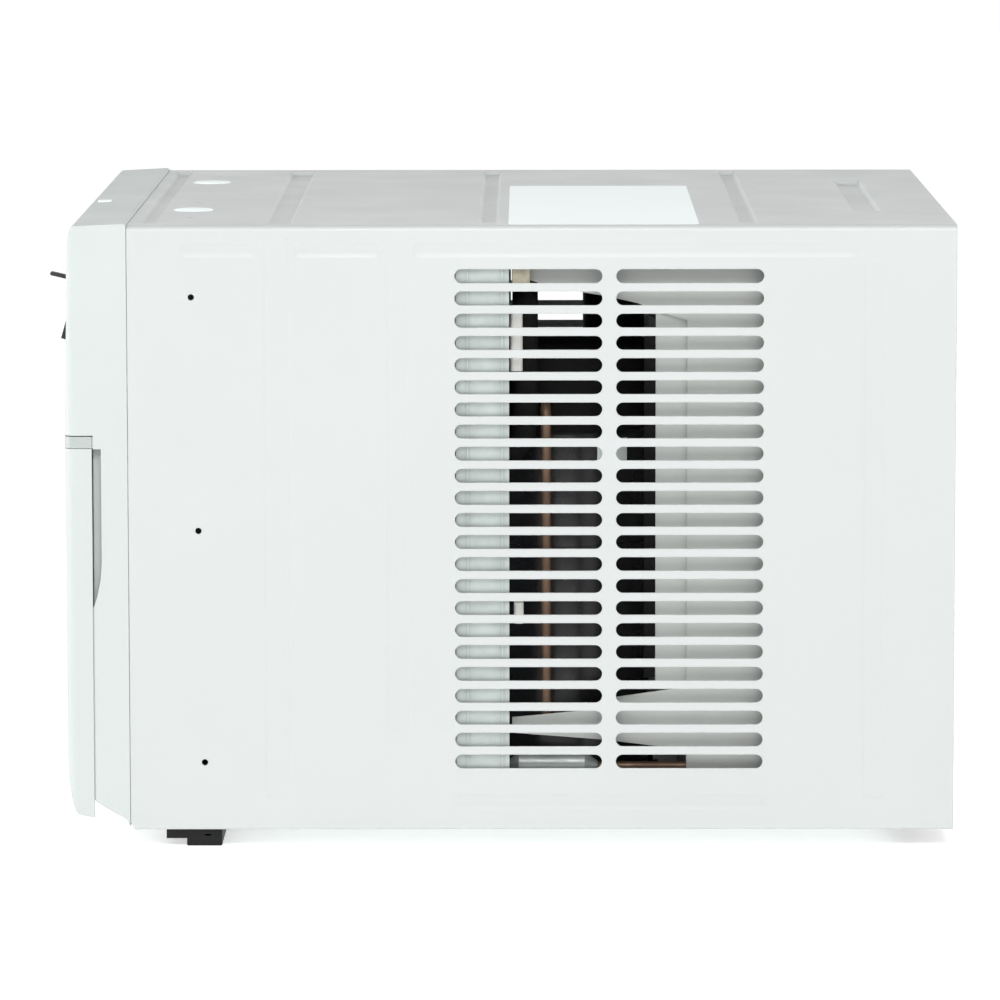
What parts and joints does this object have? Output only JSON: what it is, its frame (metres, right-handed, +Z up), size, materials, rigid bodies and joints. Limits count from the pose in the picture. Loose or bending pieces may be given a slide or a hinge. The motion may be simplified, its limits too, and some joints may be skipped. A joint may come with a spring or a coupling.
{
  "type": "window air conditioner",
  "caption": "Boxy window air conditioner: slotted steel cabinet, white front with tilting louvers, hinged intake grille, filter and push buttons, and the refrigeration parts inside.",
  "frame": {"origin": "bottom centre of the whole object's bounding box, on the plane of the sill rail's underside", "axes": "+X to the right seen from the front, +Y from the room side to the outdoor side, +Z up"},
  "size_m": [0.482, 0.548, 0.3802],
  "materials": {
    "cabinet_paint": "satin powder coat, faintly warm white",
    "galvanised_sheet": "dull zinc-coated sheet",
    "rail_black": "satin black paint",
    "shroud_plastic": "fine grain",
    "fin_aluminium": "bare rolled foil",
    "copper": "drawn copper tube, dulled with age",
    "housing_plastic": "fine bead texture",
    "motor_steel": "dull dark grey",
    "compressor_black": "gloss black enamel",
    "rubber_black": "matt",
    "line_insulation": "matt black closed-cell foam",
    "drier_steel": "dull",
    "board_green": "solder mask",
    "bezel_plastic": "satin, fine moulded grain",
    "outlet_plastic": "fine grain",
    "louver_plastic": "fine grain",
    "fascia_plastic": "satin",
    "display_dark": "polished",
    "button_plastic": "fine grain",
    "screw_steel": "zinc plated",
    "fan_plastic": "moulded",
    "trim_silver": "silver paint, satin",
    "filter_plastic": "moulded",
    "filter_net": "woven nylon net"
  },
  "bodies": {
    "chassis": {"cabinet_shell": "cabinet_paint", "rear_panel": "cabinet_paint", "base_pan": "galvanised_sheet", "sill_rail": "rail_black", "bulkhead": "galvanised_sheet", "fan_shroud": "shroud_plastic", "condenser_fins": "fin_aluminium", "condenser_tubes": "copper", "condenser_end_plates": "galvanised_sheet", "evaporator_fins": "fin_aluminium", "evaporator_tubes": "copper", "evaporator_end_plates": "galvanised_sheet", "drain_tray": "housing_plastic", "blower_housing": "housing_plastic", "fan_motor": "motor_steel", "motor_bracket": "galvanised_sheet", "compressor": "compressor_black", "compressor_cap": "line_insulation", "compressor_grommets": "rubber_black", "accumulator": "compressor_black", "suction_line": "line_insulation", "discharge_line": "copper", "capillary_tube": "copper", "filter_drier": "drier_steel", "run_capacitor": "compressor_black", "control_box": "galvanised_sheet", "control_board": "board_green", "front_bezel": "bezel_plastic", "outlet_frame": "outlet_plastic", "control_fascia": "fascia_plastic", "display_window": "display_dark", "cord_grommet": "rubber_black", "rear_screws": "screw_steel"},
    "rotor": {"motor_shaft": "screw_steel", "blower_wheel": "fan_plastic", "condenser_fan": "fan_plastic"},
    "louver_upper_left": {"louver_upper_left": "louver_plastic"},
    "louver_lower_left": {"louver_lower_left": "louver_plastic"},
    "louver_upper_right": {"louver_upper_right": "louver_plastic"},
    "louver_lower_right": {"louver_lower_right": "louver_plastic"},
    "vane_left_1": {"vane_left_1": "louver_plastic"},
    "vane_left_2": {"vane_left_2": "louver_plastic"},
    "vane_left_3": {"vane_left_3": "louver_plastic"},
    "vane_left_4": {"vane_left_4": "louver_plastic"},
    "vane_right_1": {"vane_right_1": "louver_plastic"},
    "vane_right_2": {"vane_right_2": "louver_plastic"},
    "vane_right_3": {"vane_right_3": "louver_plastic"},
    "vane_right_4": {"vane_right_4": "louver_plastic"},
    "link_left": {"link_left": "outlet_plastic"},
    "link_right": {"link_right": "outlet_plastic"},
    "grille": {"intake_grille": "bezel_plastic", "trim_strip": "trim_silver"},
    "filter": {"filter_frame": "filter_plastic", "filter_mesh": "filter_net"},
    "button_power": {"button_power": "button_plastic"},
    "button_mode": {"button_mode": "button_plastic"},
    "button_fan": {"button_fan": "button_plastic"},
    "button_timer": {"button_timer": "button_plastic"},
    "button_temp_down": {"button_temp_down": "button_plastic"},
    "button_temp_up": {"button_temp_up": "button_plastic"}
  },
  "joints": [
    {"name": "rotor_spin", "type": "hinge", "parent": "chassis", "child": "rotor", "pos_m": [-0.04, 0, 0.182], "axis": [0, 1, 0], "continuous": true},
    {"name": "louver_upper_left_tilt", "type": "hinge", "parent": "chassis", "child": "louver_upper_left", "pos_m": [-0.11, -0.26004, 0.3448], "axis": [1, 0, 0], "range_deg": [-30, 60]},
    {"name": "louver_lower_left_tilt", "type": "hinge", "parent": "chassis", "child": "louver_lower_left", "pos_m": [-0.11, -0.26004, 0.3211], "axis": [1, 0, 0], "range_deg": [-95, 8]},
    {"name": "louver_upper_right_tilt", "type": "hinge", "parent": "chassis", "child": "louver_upper_right", "pos_m": [0.11, -0.26004, 0.3448], "axis": [1, 0, 0], "range_deg": [-30, 60]},
    {"name": "louver_lower_right_tilt", "type": "hinge", "parent": "chassis", "child": "louver_lower_right", "pos_m": [0.11, -0.26004, 0.3211], "axis": [1, 0, 0], "range_deg": [-95, 8]},
    {"name": "vane_left_1_turn", "type": "hinge", "parent": "chassis", "child": "vane_left_1", "pos_m": [-0.03037, -0.22804, 0.333], "axis": [0, 0, 1], "range_deg": [-35, 35]},
    {"name": "vane_left_2_turn", "type": "hinge", "parent": "chassis", "child": "vane_left_2", "pos_m": [-0.08513, -0.22804, 0.333], "axis": [0, 0, 1], "range_deg": [-35, 35]},
    {"name": "vane_left_3_turn", "type": "hinge", "parent": "chassis", "child": "vane_left_3", "pos_m": [-0.13987, -0.22804, 0.333], "axis": [0, 0, 1], "range_deg": [-35, 35]},
    {"name": "vane_left_4_turn", "type": "hinge", "parent": "chassis", "child": "vane_left_4", "pos_m": [-0.19462, -0.22804, 0.333], "axis": [0, 0, 1], "range_deg": [-35, 35]},
    {"name": "link_left_turn", "type": "hinge", "parent": "vane_left_1", "child": "link_left", "pos_m": [-0.03037, -0.21904, 0.3133], "axis": [0, 0, 1], "range_deg": [-35, 35]},
    {"name": "vane_right_1_turn", "type": "hinge", "parent": "chassis", "child": "vane_right_1", "pos_m": [0.03037, -0.22804, 0.333], "axis": [0, 0, 1], "range_deg": [-35, 35]},
    {"name": "vane_right_2_turn", "type": "hinge", "parent": "chassis", "child": "vane_right_2", "pos_m": [0.08513, -0.22804, 0.333], "axis": [0, 0, 1], "range_deg": [-35, 35]},
    {"name": "vane_right_3_turn", "type": "hinge", "parent": "chassis", "child": "vane_right_3", "pos_m": [0.13987, -0.22804, 0.333], "axis": [0, 0, 1], "range_deg": [-35, 35]},
    {"name": "vane_right_4_turn", "type": "hinge", "parent": "chassis", "child": "vane_right_4", "pos_m": [0.19462, -0.22804, 0.333], "axis": [0, 0, 1], "range_deg": [-35, 35]},
    {"name": "link_right_turn", "type": "hinge", "parent": "vane_right_1", "child": "link_right", "pos_m": [0.03037, -0.21904, 0.3133], "axis": [0, 0, 1], "range_deg": [-35, 35]},
    {"name": "grille_open", "type": "hinge", "parent": "chassis", "child": "grille", "pos_m": [0, -0.24854, 0.028], "axis": [1, 0, 0], "range_deg": [0, 45]},
    {"name": "filter_lift", "type": "slide", "parent": "grille", "child": "filter", "axis": [0, 0, 1], "range_m": [0, 0.01]},
    {"name": "button_power_press", "type": "slide", "parent": "chassis", "child": "button_power", "axis": [0, 1, 0], "range_m": [0, 0.0012], "stiffness_N_per_m": 1200},
    {"name": "button_mode_press", "type": "slide", "parent": "chassis", "child": "button_mode", "axis": [0, 1, 0], "range_m": [0, 0.0012], "stiffness_N_per_m": 1200},
    {"name": "button_fan_press", "type": "slide", "parent": "chassis", "child": "button_fan", "axis": [0, 1, 0], "range_m": [0, 0.0012], "stiffness_N_per_m": 1200},
    {"name": "button_timer_press", "type": "slide", "parent": "chassis", "child": "button_timer", "axis": [0, 1, 0], "range_m": [0, 0.0012], "stiffness_N_per_m": 1200},
    {"name": "button_temp_down_press", "type": "slide", "parent": "chassis", "child": "button_temp_down", "axis": [0, 1, 0], "range_m": [0, 0.0012], "stiffness_N_per_m": 1200},
    {"name": "button_temp_up_press", "type": "slide", "parent": "chassis", "child": "button_temp_up", "axis": [0, 1, 0], "range_m": [0, 0.0012], "stiffness_N_per_m": 1200}
  ],
  "couplings": [
    {"joint": "vane_left_2_turn", "follows": "vane_left_1_turn", "ratio": 1},
    {"joint": "vane_left_3_turn", "follows": "vane_left_1_turn", "ratio": 1},
    {"joint": "vane_left_4_turn", "follows": "vane_left_1_turn", "ratio": 1},
    {"joint": "link_left_turn", "follows": "vane_left_1_turn", "ratio": -1},
    {"joint": "vane_right_2_turn", "follows": "vane_right_1_turn", "ratio": 1},
    {"joint": "vane_right_3_turn", "follows": "vane_right_1_turn", "ratio": 1},
    {"joint": "vane_right_4_turn", "follows": "vane_right_1_turn", "ratio": 1},
    {"joint": "link_right_turn", "follows": "vane_right_1_turn", "ratio": -1}
  ]
}
